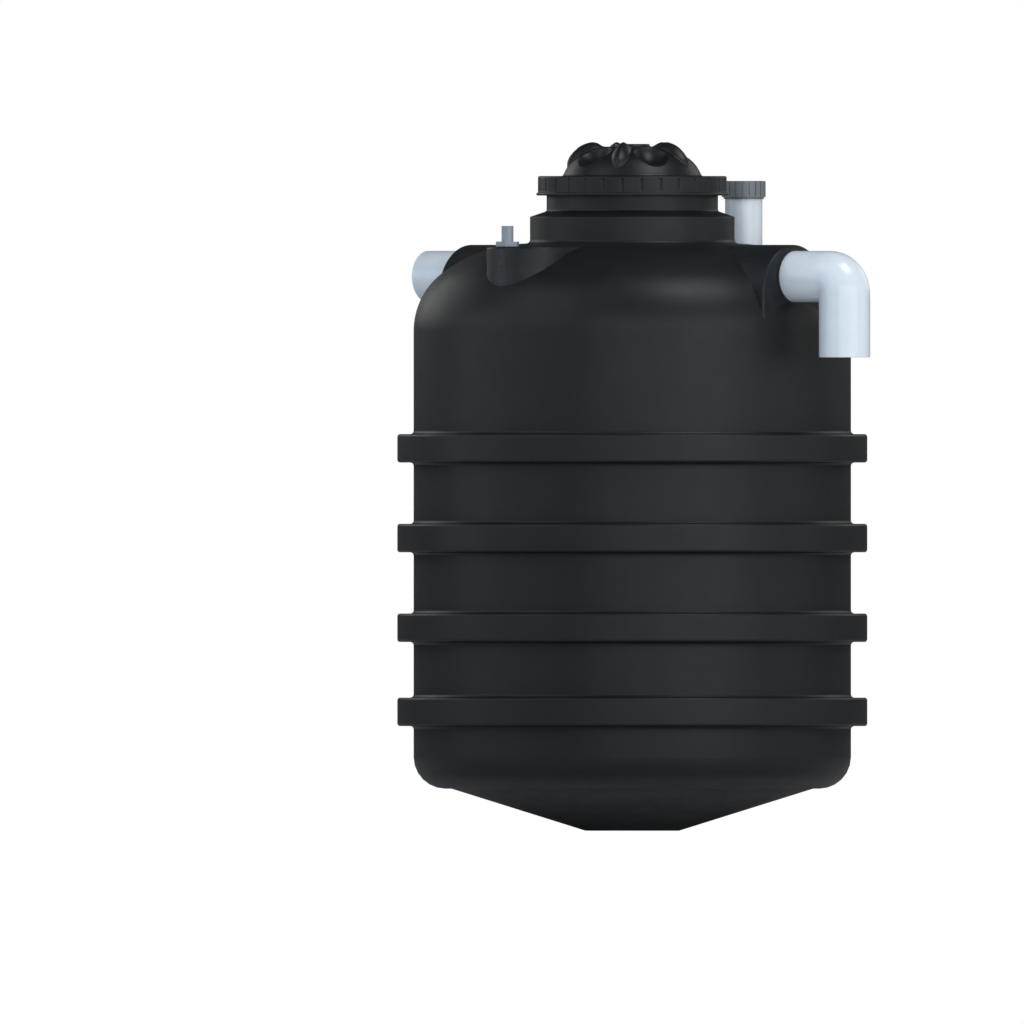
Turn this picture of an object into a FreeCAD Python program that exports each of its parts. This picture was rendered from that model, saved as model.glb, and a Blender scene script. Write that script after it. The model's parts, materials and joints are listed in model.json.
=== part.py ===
import FreeCAD, Part
import math
import os
import re
from FreeCAD import Vector
from Sketcher import Constraint

# Septic tank: a ribbed polyethylene vessel with a cone bottom, a domed shoulder
# that carries the inlet and outlet tunnels and two bosses, and a screw-on lid.
# The origin is the centre of the flat foot, +Z is up and +X is the outlet side.

# Driving dimensions in millimetres, one line each
SIZES = {
    # vessel
    "wall_radius": 468,
    "wall_thickness": 7,
    "wall_top": 1070,
    "foot_radius": 100,
    "cone_shelf": 13,
    "cone_height": 90,
    "base_knuckle_radius": 68,
    "base_rim": 8,
    # hoops around the wall
    "rib_bottom": 224,
    "rib_lowest_spacing": 180,
    "rib_spacing": 192,
    "rib_height": 61,
    "rib_projection": 35,
    "rib_lip": 10,
    "rib_edge_radius": 4,
    "rib_root_radius": 6,
    # shoulder dome and the neck of the manhole
    "dome_rise": 187,
    "dome_knuckle_radius": 155,
    "collar_step": 35.5,
    "collar_height": 57,
    "collar_foot_radius": 9,
    "neck_radius": 183.5,
    "neck_slope_height": 12,
    "neck_height": 65,
    "neck_thread_depth": 2.5,
    "neck_thread_height": 5,
    "neck_thread_pitch": 10,
    "neck_thread_start": 37,
    # tunnels that the drain pipes pass through
    "tunnel_setback": 13,
    "tunnel_radius": 106,
    "tunnel_axis_drop": 109,
    "tunnel_edge_radius": 6,
    # bosses in front and behind
    "boss_radius": 89,
    "boss_setback": 122,
    "boss_drop": 7,
    "boss_edge_radius": 6,
    # drain pipes
    "pipe_radius": 55,
    "pipe_wall": 3.2,
    "pipe_drop": 71,
    "pipe_inside": 60,
    "inlet_length": 116,
    "outlet_length": 138,
    "elbow_bend_radius": 40,
    "outlet_leg_length": 133,
    "seal_width": 5,
    "seal_proud": 2,
    # cleanout riser on the rear boss
    "riser_offset": 25,
    "riser_radius": 40,
    "riser_wall": 3,
    "riser_height": 136.5,
    "riser_inside": 40,
    "cap_radius": 47,
    "cap_height": 35,
    "cap_lip_height": 4,
    "cap_lip_wall": 2.5,
    "cap_top_thickness": 4,
    "cap_clearance": 0.5,
    "cap_edge_radius": 2.5,
    "cap_groove_count": 20,
    "cap_groove_width": 2.6,
    "cap_groove_depth": 1.5,
    # air fitting on the front boss
    "fitting_across": 34,
    "fitting_along": 29,
    "hexagon_width": 46,
    "hexagon_height": 10.7,
    "nipple_radius": 12.75,
    "nipple_bore": 9.5,
    "nipple_height": 33.5,
    # lid
    "lid_skirt_gap": 9.5,
    "lid_ring_wall": 9,
    "lid_skirt": 35,
    "lid_plate": 7,
    "lid_flange_height": 6,
    "lid_flange_projection": 3.4,
    "lid_edge_radius": 2.5,
    "gasket_height": 3,
    "lid_dome_inset": 55,
    "lid_dome_rise": 71,
    "lid_dome_knuckle_radius": 45,
    "lid_dome_wall": 6,
    "lid_table_radius": 64,
    "lid_button_radius": 36,
    "lid_button_height": 4,
    "grip_count": 30,
    "grip_width": 4,
    "grip_depth": 2.2,
    "grip_turn": 3.8,
    "petal_count": 5,
    "petal_turn": 9,
    "fin_setback": 7,
    "fin_half_width": 18,
    "fin_height": 18.5,
    "fin_root": 4,
    "fin_flank_radius": 34,
    "dimple_setback": 42,
    "dimple_tilt": 29,
    "dimple_lift": 11,
    "dimple_cup_radius": 26,
    "dimple_slope_radius": 38,
    "dimple_width_radius": 43,
    # running and seating clearances
    "seat_gap": 0.3,
}

doc = FreeCAD.newDocument("septic_tank")
sheet = doc.addObject("Spreadsheet::Sheet", "Sizes")
for row, (name, number) in enumerate(SIZES.items(), start=1):
    sheet.set(f"A{row}", name)
    sheet.set(f"B{row}", str(number))
    sheet.setAlias(f"B{row}", name)
doc.recompute()

# Levels, reaches and positions that several pieces share, as formulas on the sizes
WALL_INNER = "(wall_radius - wall_thickness)"
CONE_RADIUS = "(wall_radius - base_knuckle_radius - cone_shelf)"
COLLAR_RADIUS = "(neck_radius + collar_step)"
NECK_INNER = "(neck_radius - wall_thickness)"
DOME_TOP = "(wall_top + dome_rise)"
COLLAR_TOP = f"({DOME_TOP} + collar_height)"
NECK_FOOT = f"({COLLAR_TOP} + neck_slope_height)"
NECK_RIM = f"({NECK_FOOT} + neck_height)"
GASKET_BOTTOM = f"({NECK_RIM} + seat_gap)"
LID_PLATE_BOTTOM = f"({GASKET_BOTTOM} + gasket_height)"
LID_PLATE_TOP = f"({LID_PLATE_BOTTOM} + lid_plate)"
TUNNEL_REACH = "(wall_radius - tunnel_setback)"
TUNNEL_INNER = "(tunnel_radius - wall_thickness)"
TUNNEL_AXIS = f"({DOME_TOP} - tunnel_axis_drop)"
PIPE_AXIS = f"({DOME_TOP} - pipe_drop)"
BOSS_TOP = f"({DOME_TOP} - boss_drop)"
BOSS_CENTRE = "(wall_radius - boss_setback)"
BOSS_INNER = "(boss_radius - wall_thickness)"
RISER_CENTRE = f"({BOSS_CENTRE} + riser_offset)"
RISER_HOLE = "(riser_radius + seal_width)"
FITTING_CENTRE = f"({BOSS_CENTRE} + fitting_along)"
PIPE_BORE = "(pipe_radius - pipe_wall)"
LEG_AXIS = f"({TUNNEL_REACH} + outlet_length)"
ELBOW_START = f"({LEG_AXIS} - elbow_bend_radius)"
ELBOW_END = f"({PIPE_AXIS} - elbow_bend_radius)"
RISER_TOP = f"({BOSS_TOP} + riser_height)"
LID_RING_RADIUS = "(neck_radius + lid_skirt_gap + lid_ring_wall)"
LID_DOME_RADIUS = f"({LID_RING_RADIUS} - lid_dome_inset)"
DIMPLE_REACH = f"({LID_DOME_RADIUS} - dimple_setback)"

# How near two places count as the same one when edges are picked
TOUCH = 0.01


def formula(text):
    """Spell a formula in size names as an expression on the sheet."""
    return re.sub(r"[a-z_]+", lambda word: f"Sizes.{word[0]}" if word[0] in SIZES else word[0], text)


def value(text):
    """Work out a formula in size names as a number."""
    return float(sheet.evalExpression(formula(text)))


def bind(obj, prop, text):
    """Tie a property to a formula in size names."""
    obj.setExpression(prop, formula(text))


def new_body(name):
    body = doc.addObject("PartDesign::Body", name)
    body.Label = name
    return body


def new_sketch(body, name, plane, offset=None):
    """Start a sketch on one of the body's own origin planes, raised by a formula."""
    sketch = body.newObject("Sketcher::SketchObject", name)
    origin_plane = next(item for item in body.Origin.OriginFeatures if item.Role == plane)
    sketch.AttachmentSupport = [(origin_plane, "")]
    sketch.MapMode = "FlatFace"
    if offset:
        bind(sketch, "AttachmentOffset.Base.z", offset)
    return sketch


def hold_point(sketch, edge, vertex, across, up):
    """Fix a point of the sketch at a place given by two formulas."""
    for text, kind, axis in ((across, "DistanceX", -2), (up, "DistanceY", -1)):
        number = value(text)
        if text == "0":
            sketch.addConstraint(Constraint("PointOnObject", edge, vertex, axis))
        elif number < 0:
            index = sketch.addConstraint(Constraint(kind, edge, vertex, -1, 1, -number))
            bind(sketch, f"Constraints[{index}]", f"-({text})")
        else:
            index = sketch.addConstraint(Constraint(kind, -1, 1, edge, vertex, number))
            bind(sketch, f"Constraints[{index}]", text)


def draw_arc(sketch, start, finish, radius, left, long_way):
    """Add an arc between two places and return it with its vertices in travel order."""
    chord = finish - start
    side = Vector(-chord.y, chord.x, 0).normalize()
    if left == long_way:
        side = -side
    sagitta = math.sqrt(max(radius ** 2 - chord.Length ** 2 / 4, 0))
    centre = (start + finish) / 2 + side * sagitta
    first, last = (start, finish) if left else (finish, start)
    angles = [math.atan2(point.y - centre.y, point.x - centre.x) for point in (first, last)]
    circle = Part.Circle(centre, Vector(0, 0, 1), radius)
    edge = sketch.addGeometry(Part.ArcOfCircle(circle, angles[0], angles[1]), False)
    return (edge, 1, 2) if left else (edge, 2, 1)


def draw_outline(sketch, corners):
    """Draw a closed outline.

    A corner is (across, up), or (across, up, radius) where the stretch to the next
    corner is an arc: a positive radius turns left and a negative one turns right.
    A fourth term says "long" for the longer way round, or "half" for a half circle
    that carries on smoothly from the stretch before it.
    """
    places = [Vector(value(corner[0]), value(corner[1]), 0) for corner in corners]
    edges = []
    for index, corner in enumerate(corners):
        start = places[index]
        finish = places[(index + 1) % len(corners)]
        if len(corner) == 2:
            edges.append((sketch.addGeometry(Part.LineSegment(start, finish), False), 1, 2))
            continue
        radius = corner[2].lstrip("-")
        left = not corner[2].startswith("-")
        edge = draw_arc(sketch, start, finish, value(radius), left, corner[3:] == ("long",))
        edges.append(edge)
        if corner[3:] != ("half",):
            constraint = sketch.addConstraint(Constraint("Radius", edge[0], value(radius)))
            bind(sketch, f"Constraints[{constraint}]", radius)
    for index, (edge, begin, end) in enumerate(edges):
        following = (index + 1) % len(edges)
        joint = "Tangent" if corners[following][3:] == ("half",) else "Coincident"
        sketch.addConstraint(Constraint(joint, edge, end, edges[following][0], edges[following][1]))
        hold_point(sketch, edge, begin, corners[index][0], corners[index][1])


def draw_circle(sketch, across, up, radius):
    centre = Vector(value(across), value(up), 0)
    circle = sketch.addGeometry(Part.Circle(centre, Vector(0, 0, 1), value(radius)), False)
    index = sketch.addConstraint(Constraint("Radius", circle, value(radius)))
    bind(sketch, f"Constraints[{index}]", radius)
    hold_point(sketch, circle, 3, across, up)


def turn(body, name, corners, kind="PartDesign::Revolution"):
    """Turn an outline in the XZ plane once around the Z axis."""
    sketch = new_sketch(body, f"{name}_outline", "XZ_Plane")
    draw_outline(sketch, corners)
    feature = body.newObject(kind, name)
    feature.Profile = sketch
    feature.ReferenceAxis = (sketch, ["V_Axis"])
    feature.Angle = 360
    sketch.Visibility = False
    doc.recompute()
    return feature


def extrude(body, name, sketch, length, kind="PartDesign::Pad", backwards=False, both_ways=False):
    """Push a sketch along its normal; a Pocket cuts against the normal unless turned round."""
    feature = body.newObject(kind, name)
    feature.Profile = sketch
    bind(feature, "Length", length)
    feature.Reversed = backwards
    feature.Midplane = both_ways
    doc.recompute()
    return feature


def repeat_around(body, name, features, count):
    """Repeat features evenly around the body's own Z axis."""
    pattern = body.newObject("PartDesign::PolarPattern", name)
    pattern.Originals = features
    pattern.Axis = (next(item for item in body.Origin.OriginFeatures if item.Role == "Z_Axis"), [""])
    pattern.Angle = 360
    bind(pattern, "Occurrences", count)
    body.Tip = pattern
    doc.recompute()
    return pattern


def round_edges(body, name, radius, chosen):
    """Fillet the edges of the body's tip that a test picks out."""
    tip = body.Tip
    names = [f"Edge{number}" for number, edge in enumerate(tip.Shape.Edges, start=1) if chosen(edge)]
    fillet = body.newObject("PartDesign::Fillet", name)
    fillet.Base = (tip, names)
    bind(fillet, "Radius", radius)
    doc.recompute()
    return fillet


def hoop_edge(radius, level):
    """A test for the circular edge around the Z axis at a radius and a level."""
    reach = value(radius)
    height = value(level)

    def chosen(edge):
        if not isinstance(edge.Curve, Part.Circle):
            return False
        centre = edge.Curve.Center
        on_axis = math.hypot(centre.x, centre.y) < TOUCH
        return on_axis and abs(edge.Curve.Radius - reach) < TOUCH and abs(centre.z - height) < TOUCH

    return chosen


def ring(name, inner, outer, bottom, top):
    """A plain upright ring."""
    body = new_body(name)
    turn(body, f"{name}_ring", [(inner, bottom), (outer, bottom), (outer, top), (inner, top)])
    return body


# The shoulder is two tangent arcs: a knuckle at the wall and a flatter crown
DOME_SPREAD = f"(wall_radius - {COLLAR_RADIUS} - dome_knuckle_radius)"
DOME_RISE_LEFT = "(dome_rise - dome_knuckle_radius)"
CROWN_DROP = f"(({DOME_SPREAD}^2 - {DOME_RISE_LEFT}^2) / (2 * {DOME_RISE_LEFT}))"
CROWN_RADIUS = f"(dome_rise + {CROWN_DROP})"
ARC_SPAN = f"({CROWN_RADIUS} - dome_knuckle_radius)"


def dome_points(offset):
    """Foot, tangent point and crown of the shoulder curve, moved out by a formula."""
    knuckle = f"(dome_knuckle_radius + {offset})"
    foot = (f"wall_radius + {offset}", "wall_top", knuckle)
    across = f"{COLLAR_RADIUS} + {DOME_SPREAD} + {knuckle} * {DOME_SPREAD} / {ARC_SPAN}"
    up = f"wall_top + {knuckle} * {CROWN_DROP} / {ARC_SPAN}"
    crown = (COLLAR_RADIUS, f"{DOME_TOP} + {offset}")
    return foot, (across, up, f"({CROWN_RADIUS} + {offset})"), crown


def cut_dome(body, name):
    """Clear away everything under the shoulder's outer surface."""
    foot, tangent, crown = dome_points("seat_gap")
    below = "wall_top - tunnel_radius"
    corners = [("0", below), (foot[0], below), foot, tangent, crown, ("0", crown[1])]
    return turn(body, name, corners, "PartDesign::Groove")


RIB_COUNT = 4
THREAD_TURNS = 3


def rib_level(number):
    """Bottom of a rib, counted from 0."""
    if number == 0:
        return "rib_bottom"
    return f"(rib_bottom + rib_lowest_spacing + {number - 1} * rib_spacing)"


def make_base():
    """Flat foot, cone, and the knuckle that turns up into the wall."""
    flat = "(wall_radius - base_knuckle_radius)"
    corner_top = "(cone_height + base_knuckle_radius)"
    inner_radius = "(base_knuckle_radius - wall_thickness)"
    foot = new_body("foot_plate")
    turn(foot, "foot_plate_disc", [
        ("0", "0"),
        ("foot_radius", "0"),
        ("foot_radius", "wall_thickness"),
        ("0", "wall_thickness"),
    ])
    cone = new_body("cone_bottom")
    turn(cone, "cone_bottom_shell", [
        ("foot_radius", "0"),
        (CONE_RADIUS, "cone_height"),
        (flat, "cone_height"),
        (flat, "cone_height + wall_thickness"),
        (CONE_RADIUS, "cone_height + wall_thickness"),
        ("foot_radius", "wall_thickness"),
    ])
    knuckle = new_body("base_knuckle")
    turn(knuckle, "base_knuckle_shell", [
        (flat, "cone_height", "base_knuckle_radius"),
        ("wall_radius", corner_top),
        ("wall_radius", f"{corner_top} + base_rim"),
        (WALL_INNER, f"{corner_top} + base_rim"),
        (WALL_INNER, corner_top, f"-{inner_radius}"),
        (flat, "cone_height + wall_thickness"),
    ])


def make_ribs():
    """Hollow moulded hoops: an outer band between two shelves that turn out of the wall."""
    tip = "(wall_radius + rib_projection)"
    hollow = f"({tip} - wall_thickness)"
    for number in range(RIB_COUNT):
        name = f"rib_{number + 1}"
        bottom = rib_level(number)
        top = f"({bottom} + rib_height)"
        band = ring(f"{name}_band", hollow, tip, bottom, top)
        for tag, level, lip, shelf in (
            ("lower", bottom, f"{bottom} - rib_lip", f"{bottom} + wall_thickness"),
            ("upper", top, f"{top} + rib_lip", f"{top} - wall_thickness"),
        ):
            round_edges(band, f"{name}_{tag}_edge", "rib_edge_radius", hoop_edge(tip, level))
            body = new_body(f"{name}_{tag}")
            turn(body, f"{name}_{tag}_shelf", [
                (WALL_INNER, lip),
                ("wall_radius", lip),
                ("wall_radius", level),
                (hollow, level),
                (hollow, shelf),
                (WALL_INNER, shelf),
            ])
            round_edges(body, f"{name}_{tag}_root", "rib_root_radius", hoop_edge("wall_radius", level))


def make_wall():
    """Plain stretches of wall between the base, the ribs and the shoulder."""
    levels = ["(cone_height + base_knuckle_radius + base_rim)"]
    for number in range(RIB_COUNT):
        levels.append(f"{rib_level(number)} - rib_lip")
        levels.append(f"{rib_level(number)} + rib_height + rib_lip")
    levels.append("wall_top")
    for number in range(RIB_COUNT + 1):
        ring(f"wall_band_{number + 1}", WALL_INNER, "wall_radius", levels[2 * number], levels[2 * number + 1])


def arch(body, name, radius, bottom):
    """Sketch of a tunnel's section: upright sides under a half round top."""
    sketch = new_sketch(body, name, "YZ_Plane")
    draw_outline(sketch, [
        (f"-{radius}", bottom),
        (radius, bottom),
        (radius, TUNNEL_AXIS, radius, "half"),
        (f"-{radius}", TUNNEL_AXIS),
    ])
    return sketch


def boss_plan(body, name, radius, level, side):
    """Sketch of a boss from above: a round nose on straight cheeks."""
    sketch = new_sketch(body, name, "XY_Plane", level)
    right, left = (radius, f"-{radius}") if side > 0 else (f"-{radius}", radius)
    nose = f"{side} * {BOSS_CENTRE}"
    draw_outline(sketch, [(right, "0"), (right, nose, radius, "half"), (left, nose), (left, "0")])
    return sketch


def open_shoulder(body, name):
    """Cut the openings under the tunnels and the bosses."""
    tunnels = arch(body, f"{name}_tunnel_section", TUNNEL_INNER, "wall_top")
    extrude(body, f"{name}_tunnels", tunnels, f"2 * ({TUNNEL_REACH} - wall_thickness)",
            "PartDesign::Pocket", both_ways=True)
    for side, tag in ((-1, "front"), (1, "rear")):
        plan = boss_plan(body, f"{name}_{tag}_plan", BOSS_INNER, "wall_top", side)
        extrude(body, f"{name}_{tag}_opening", plan, f"{BOSS_TOP} - wall_thickness - wall_top",
                "PartDesign::Pocket", backwards=True)


def keep_quarter(body, name, side_x, side_y):
    """Clear away the three quarters of a ring that its other pieces fill."""
    reach = "(wall_radius + wall_thickness)"
    sketch = new_sketch(body, f"{name}_others", "XY_Plane", "wall_top")
    along = (reach, f"-{reach}") if side_x > 0 else (f"-{reach}", reach)
    across = (reach, f"-{reach}") if side_y > 0 else (f"-{reach}", reach)
    draw_outline(sketch, [
        ("0", "0"),
        (along[0], "0"),
        (along[0], across[1]),
        (along[1], across[1]),
        (along[1], across[0]),
        ("0", across[0]),
    ])
    extrude(body, f"{name}_split", sketch, "dome_rise", "PartDesign::Pocket", backwards=True)


def make_shoulder():
    """The shoulder dome in quarters, each open under a tunnel, a boss and the collar."""
    outer_foot, outer_tangent, outer_crown = dome_points("0")
    inner_foot, inner_tangent, inner_crown = dome_points("(0 - wall_thickness)")
    throat = f"({COLLAR_RADIUS} - wall_thickness)"
    for name, side_x, side_y in (
        ("shoulder_front_outlet", 1, -1),
        ("shoulder_front_inlet", -1, -1),
        ("shoulder_rear_outlet", 1, 1),
        ("shoulder_rear_inlet", -1, 1),
    ):
        quarter = new_body(name)
        turn(quarter, f"{name}_shell", [
            outer_foot,
            outer_tangent,
            outer_crown,
            (throat, DOME_TOP),
            (throat, f"{DOME_TOP} - wall_thickness"),
            (inner_crown[0], inner_crown[1], f"-{inner_tangent[2]}"),
            (inner_tangent[0], inner_tangent[1], f"-{inner_foot[2]}"),
            inner_foot[:2],
        ])
        open_shoulder(quarter, name)
        hole = new_sketch(quarter, f"{name}_pipe_circle", "YZ_Plane")
        draw_circle(hole, "0", PIPE_AXIS, "pipe_radius + seal_width")
        extrude(quarter, f"{name}_pipe_holes", hole, f"2 * ({TUNNEL_REACH} + seal_width)",
                "PartDesign::Pocket", both_ways=True)
        if side_y > 0:
            drill = new_sketch(quarter, f"{name}_riser_circle", "XY_Plane", DOME_TOP)
            draw_circle(drill, "0", RISER_CENTRE, RISER_HOLE)
            extrude(quarter, f"{name}_riser_hole", drill, "dome_rise", "PartDesign::Pocket")
        keep_quarter(quarter, name, side_x, side_y)


def make_tunnel(name, side):
    """Tunnel on one side of the shoulder, with a round hole for the drain pipe."""
    body = new_body(name)
    backwards = side < 0
    extrude(body, f"{name}_block", arch(body, f"{name}_section", "tunnel_radius", "wall_top"),
            TUNNEL_REACH, backwards=backwards)
    face = side * value(TUNNEL_REACH)

    def on_rim(edge):
        box = edge.BoundBox
        at_face = abs(box.XMin - face) < TOUCH and abs(box.XMax - face) < TOUCH
        return at_face and box.ZMax > value("wall_top") + TOUCH

    round_edges(body, f"{name}_rim", "tunnel_edge_radius", on_rim)
    extrude(body, f"{name}_hollow", arch(body, f"{name}_hollow_section", TUNNEL_INNER, "wall_top"),
            f"{TUNNEL_REACH} - wall_thickness", "PartDesign::Pocket", backwards=not backwards)
    hole = new_sketch(body, f"{name}_hole_circle", "YZ_Plane")
    draw_circle(hole, "0", PIPE_AXIS, "pipe_radius + seal_width")
    extrude(body, f"{name}_hole", hole, f"{TUNNEL_REACH} + seal_width", "PartDesign::Pocket",
            backwards=not backwards)
    cut_dome(body, f"{name}_seat")


def make_boss(name, side, hole_radius, hole_across, hole_along):
    """Flat-topped boss with a round nose and a hole for what stands on it."""
    body = new_body(name)
    plan = boss_plan(body, f"{name}_plan", "boss_radius", "wall_top", side)
    extrude(body, f"{name}_block", plan, f"{BOSS_TOP} - wall_top")
    top = value(BOSS_TOP)

    def on_rim(edge):
        box = edge.BoundBox
        at_top = abs(box.ZMin - top) < TOUCH and abs(box.ZMax - top) < TOUCH
        return at_top and abs(box.Center.y) > TOUCH

    round_edges(body, f"{name}_rim", "boss_edge_radius", on_rim)
    extrude(body, f"{name}_hollow", boss_plan(body, f"{name}_hollow_plan", BOSS_INNER, "wall_top", side),
            f"{BOSS_TOP} - wall_thickness - wall_top", "PartDesign::Pocket", backwards=True)
    hole = new_sketch(body, f"{name}_hole_circle", "XY_Plane", BOSS_TOP)
    draw_circle(hole, hole_across, hole_along, hole_radius)
    extrude(body, f"{name}_hole", hole, "wall_thickness + seal_width", "PartDesign::Pocket")
    cut_dome(body, f"{name}_seat")


def make_collar():
    """Upright collar with a flared foot, and the slope that leads in to the neck."""
    inner = f"({COLLAR_RADIUS} - wall_thickness)"
    foot = f"{DOME_TOP} + seat_gap"
    flare = f"({COLLAR_RADIUS} + collar_foot_radius)"
    collar = new_body("manhole_collar")
    turn(collar, "manhole_collar_shell", [
        (inner, foot),
        (flare, foot),
        (flare, f"{foot} + seat_gap", "-collar_foot_radius"),
        (COLLAR_RADIUS, f"{foot} + seat_gap + collar_foot_radius"),
        (COLLAR_RADIUS, f"{COLLAR_TOP} - wall_thickness"),
        (inner, f"{COLLAR_TOP} - wall_thickness"),
    ])
    slope = new_body("collar_slope")
    turn(slope, "collar_slope_shell", [
        (inner, f"{COLLAR_TOP} - wall_thickness"),
        (COLLAR_RADIUS, f"{COLLAR_TOP} - wall_thickness"),
        (COLLAR_RADIUS, COLLAR_TOP),
        ("neck_radius", NECK_FOOT),
        (NECK_INNER, NECK_FOOT),
        (NECK_INNER, f"{NECK_FOOT} - wall_thickness"),
    ])


def make_neck():
    """Neck that the lid screws on, with thread turns where the lid covers it."""
    crest = "neck_radius + neck_thread_depth"
    flank = "neck_thread_height / 4"
    corners = [(NECK_INNER, NECK_FOOT), ("neck_radius", NECK_FOOT)]
    for number in range(THREAD_TURNS):
        level = f"({NECK_FOOT} + neck_thread_start + {number} * neck_thread_pitch)"
        corners += [
            ("neck_radius", level),
            (crest, f"{level} + {flank}"),
            (crest, f"{level} + neck_thread_height - {flank}"),
            ("neck_radius", f"{level} + neck_thread_height"),
        ]
    corners += [("neck_radius", NECK_RIM), (NECK_INNER, NECK_RIM)]
    body = new_body("manhole_neck")
    turn(body, "manhole_neck_shell", corners)


def level_pipe(name, start, length, backwards):
    """A level stretch of drain pipe along X."""
    body = new_body(name)
    section = new_sketch(body, f"{name}_section", "YZ_Plane", start)
    draw_circle(section, "0", PIPE_AXIS, "pipe_radius")
    draw_circle(section, "0", PIPE_AXIS, PIPE_BORE)
    extrude(body, f"{name}_run", section, length, backwards=backwards)
    return body


def bend(body, name, radius, kind):
    """Turn a pipe's circle a quarter round the elbow's axis, or cut one away."""
    half = f"sqrt({radius}^2 - elbow_bend_radius^2)"
    section = new_sketch(body, f"{name}_section", "YZ_Plane", ELBOW_START)
    draw_outline(section, [(half, ELBOW_END, radius, "long"), (f"-{half}", ELBOW_END)])
    left = Vector(-value(half), value(ELBOW_END), 0)
    right = Vector(value(half), value(ELBOW_END), 0)
    axis = section.addGeometry(Part.LineSegment(left, right), True)
    hold_point(section, axis, 1, f"-{half}", ELBOW_END)
    hold_point(section, axis, 2, half, ELBOW_END)
    sweep = body.newObject(kind, name)
    sweep.Profile = section
    sweep.ReferenceAxis = (section, ["Axis0"])
    sweep.Angle = 90
    doc.recompute()


def make_pipes():
    """Inlet stub, outlet pipe with its elbow and drop leg, and the rubber seals."""
    inside = f"({TUNNEL_REACH} - pipe_inside)"
    level_pipe("inlet_pipe", f"-{inside}", "pipe_inside + inlet_length", True)

    outlet = level_pipe("outlet_pipe", inside, f"{ELBOW_START} - {inside}", False)
    drop = new_sketch(outlet, "drop_circle", "XY_Plane", ELBOW_END)
    draw_circle(drop, LEG_AXIS, "0", PIPE_BORE)
    extrude(outlet, "drop_opening", drop, "pipe_radius", "PartDesign::Pocket")

    elbow = new_body("outlet_elbow")
    bend(elbow, "elbow_outside", "pipe_radius", "PartDesign::Revolution")
    bend(elbow, "elbow_bore", PIPE_BORE, "PartDesign::Groove")

    leg = new_body("outlet_leg")
    section = new_sketch(leg, "leg_section", "XY_Plane", ELBOW_END)
    draw_circle(section, LEG_AXIS, "0", "pipe_radius")
    draw_circle(section, LEG_AXIS, "0", PIPE_BORE)
    extrude(leg, "leg_run", section, "outlet_leg_length", backwards=True)
    notch = new_sketch(leg, "leg_notch_circle", "YZ_Plane", ELBOW_START)
    draw_circle(notch, "0", PIPE_AXIS, "pipe_radius + seat_gap")
    extrude(leg, "leg_notch", notch, "2 * pipe_radius", "PartDesign::Pocket")

    inner_face = f"({TUNNEL_REACH} - wall_thickness - seal_proud)"
    for side, tag in ((-1, "inlet"), (1, "outlet")):
        seal = new_body(f"{tag}_seal")
        section = new_sketch(seal, f"{tag}_seal_section", "YZ_Plane", f"{side} * {inner_face}")
        draw_circle(section, "0", PIPE_AXIS, "pipe_radius + seal_width - seat_gap")
        draw_circle(section, "0", PIPE_AXIS, "pipe_radius + seat_gap")
        extrude(seal, f"{tag}_seal_ring", section, "wall_thickness + 2 * seal_proud", backwards=side < 0)


def make_riser():
    """Cleanout riser through the rear boss, with its grooved cap."""
    riser = new_body("cleanout_riser")
    section = new_sketch(riser, "riser_section", "XY_Plane", f"{BOSS_TOP} - riser_inside")
    draw_circle(section, "0", "0", "riser_radius")
    draw_circle(section, "0", "0", "riser_radius - riser_wall")
    extrude(riser, "riser_run", section, "riser_inside + riser_height")

    seal = new_body("riser_seal")
    section = new_sketch(seal, "riser_seal_section", "XY_Plane", f"{BOSS_TOP} - wall_thickness")
    draw_circle(section, "0", "0", f"{RISER_HOLE} - seat_gap")
    draw_circle(section, "0", "0", "riser_radius + seat_gap")
    extrude(seal, "riser_seal_ring", section, "wall_thickness + seal_proud")

    cap = new_body("cleanout_cap")
    top = f"({RISER_TOP} + seat_gap + cap_top_thickness)"
    bottom = f"({top} - cap_height)"
    hollow = "(riser_radius + cap_clearance)"
    lip = f"({hollow} + cap_lip_wall)"
    turn(cap, "cap_shell", [
        ("0", f"{top} - cap_top_thickness"),
        (hollow, f"{top} - cap_top_thickness"),
        (hollow, f"{bottom} - cap_lip_height"),
        (lip, f"{bottom} - cap_lip_height"),
        (lip, bottom),
        ("cap_radius", bottom),
        ("cap_radius", top),
        ("0", top),
    ])
    round_edges(cap, "cap_edge", "cap_edge_radius", hoop_edge("cap_radius", top))
    cut_grooves(cap, "cap_groove", top, "cap_radius", "cap_groove_width", "cap_groove_depth",
                "cap_height - cap_groove_width", "cap_groove_count")
    for body in (riser, seal, cap):
        bind(body, "Placement.Base.y", RISER_CENTRE)


def cut_grooves(body, name, top, radius, width, depth, length, count):
    """Cut upright grooves all round a drum, down from its top."""
    sketch = new_sketch(body, f"{name}_section", "XY_Plane", top)
    bottom_of_groove = f"({radius} - {depth})"
    outside = f"({radius} + {depth})"
    half = f"({width} / 2)"
    draw_outline(sketch, [
        (bottom_of_groove, f"-{half}"),
        (outside, f"-{half}"),
        (outside, half),
        (bottom_of_groove, half),
    ])
    groove = extrude(body, name, sketch, length, "PartDesign::Pocket")
    repeat_around(body, f"{name}s", [groove], count)


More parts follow.
